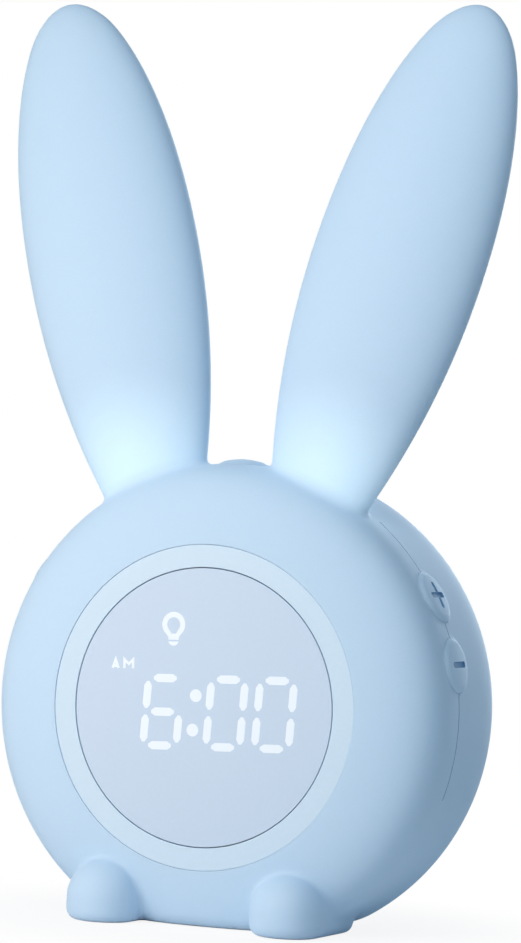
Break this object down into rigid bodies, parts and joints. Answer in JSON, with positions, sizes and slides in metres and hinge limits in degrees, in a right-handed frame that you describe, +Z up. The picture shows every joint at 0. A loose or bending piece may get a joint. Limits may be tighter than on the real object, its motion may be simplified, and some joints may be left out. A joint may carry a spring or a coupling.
{
  "type": "alarm clock with night light",
  "caption": "Round soft-skinned bedside alarm clock with two tall glowing ears, a round display, side buttons, two feet and a rear speaker.",
  "frame": {"origin": "on the flat underside, in the middle of the clock between left and right, just behind the middle of the front half", "axes": "+Z up along the ears, +Y from the display to the back, +X to the right as seen from the front"},
  "size_m": [0.1149, 0.0571, 0.1968],
  "materials": {
    "silicone": "matte",
    "button_silicone": "matte",
    "ring_plastic": "satin",
    "lens_plastic": "satin",
    "lit_window": "satin",
    "milky_plastic": "satin",
    "white_abs": "fine texture",
    "circuit_board": "solder mask",
    "led_chip": "satin",
    "black_plastic": "matte",
    "socket_nylon": "satin",
    "bare_metal": "brushed",
    "screw_steel": "zinc plated",
    "battery_wrap": "shrink film",
    "paper_cone": "paper",
    "magnet": "matte",
    "foam": "open-cell foam",
    "lead_sheath": "satin"
  },
  "bodies": {
    "clock": {"silicone_skin": "silicone", "display_ring": "ring_plastic", "display_lens": "lens_plastic", "display_windows": "lit_window", "diffuser_film": "milky_plastic", "right_ear_light_guide": "milky_plastic", "left_ear_light_guide": "milky_plastic", "front_housing": "white_abs", "rear_housing": "white_abs", "rear_cover": "white_abs", "display_reflector": "white_abs", "display_board": "circuit_board", "main_board": "circuit_board", "usb_board": "circuit_board", "right_ear_led_board": "circuit_board", "left_ear_led_board": "circuit_board", "display_leds": "led_chip", "right_ear_leds": "led_chip", "left_ear_leds": "led_chip", "board_header": "black_plastic", "clock_chip": "black_plastic", "amplifier_chip": "black_plastic", "charger_chip": "black_plastic", "battery_holder": "black_plastic", "plus_switch": "black_plastic", "minus_switch": "black_plastic", "light_switch": "black_plastic", "alarm_switch": "black_plastic", "mode_switch": "black_plastic", "speaker_socket": "socket_nylon", "battery_socket": "socket_nylon", "usb_socket": "socket_nylon", "usb_port": "bare_metal", "battery_contacts": "bare_metal", "speaker_frame": "bare_metal", "board_capacitors": "bare_metal", "case_screws": "screw_steel", "cover_screws": "screw_steel", "display_screws": "screw_steel", "battery_cell": "battery_wrap", "speaker_cone": "paper_cone", "speaker_magnet": "magnet", "speaker_gasket": "foam", "display_gasket": "foam", "speaker_lead": "lead_sheath", "battery_lead": "lead_sheath", "usb_lead": "lead_sheath", "right_ear_lead": "lead_sheath", "left_ear_lead": "lead_sheath"},
    "plus_key": {"plus_button": "button_silicone", "plus_plunger": "socket_nylon"},
    "minus_key": {"minus_button": "button_silicone", "minus_plunger": "socket_nylon"},
    "light_key": {"light_button": "button_silicone", "light_plunger": "socket_nylon"},
    "alarm_key": {"alarm_button": "button_silicone", "alarm_plunger": "socket_nylon"},
    "mode_key": {"mode_button": "button_silicone", "mode_plunger": "socket_nylon"}
  },
  "joints": [
    {"name": "plus_press", "type": "slide", "parent": "clock", "child": "plus_key", "axis": [-0.8616, 0, -0.5075], "range_m": [0, 0.00045], "stiffness_N_per_m": 2000},
    {"name": "minus_press", "type": "slide", "parent": "clock", "child": "minus_key", "axis": [-0.9724, 0, -0.2334], "range_m": [0, 0.00045], "stiffness_N_per_m": 2000},
    {"name": "light_press", "type": "slide", "parent": "clock", "child": "light_key", "axis": [0, 0, -1], "range_m": [0, 0.00045], "stiffness_N_per_m": 2000},
    {"name": "alarm_press", "type": "slide", "parent": "clock", "child": "alarm_key", "axis": [0.8616, 0, -0.5075], "range_m": [0, 0.00045], "stiffness_N_per_m": 2000},
    {"name": "mode_press", "type": "slide", "parent": "clock", "child": "mode_key", "axis": [0.9724, 0, -0.2334], "range_m": [0, 0.00045], "stiffness_N_per_m": 2000}
  ]
}
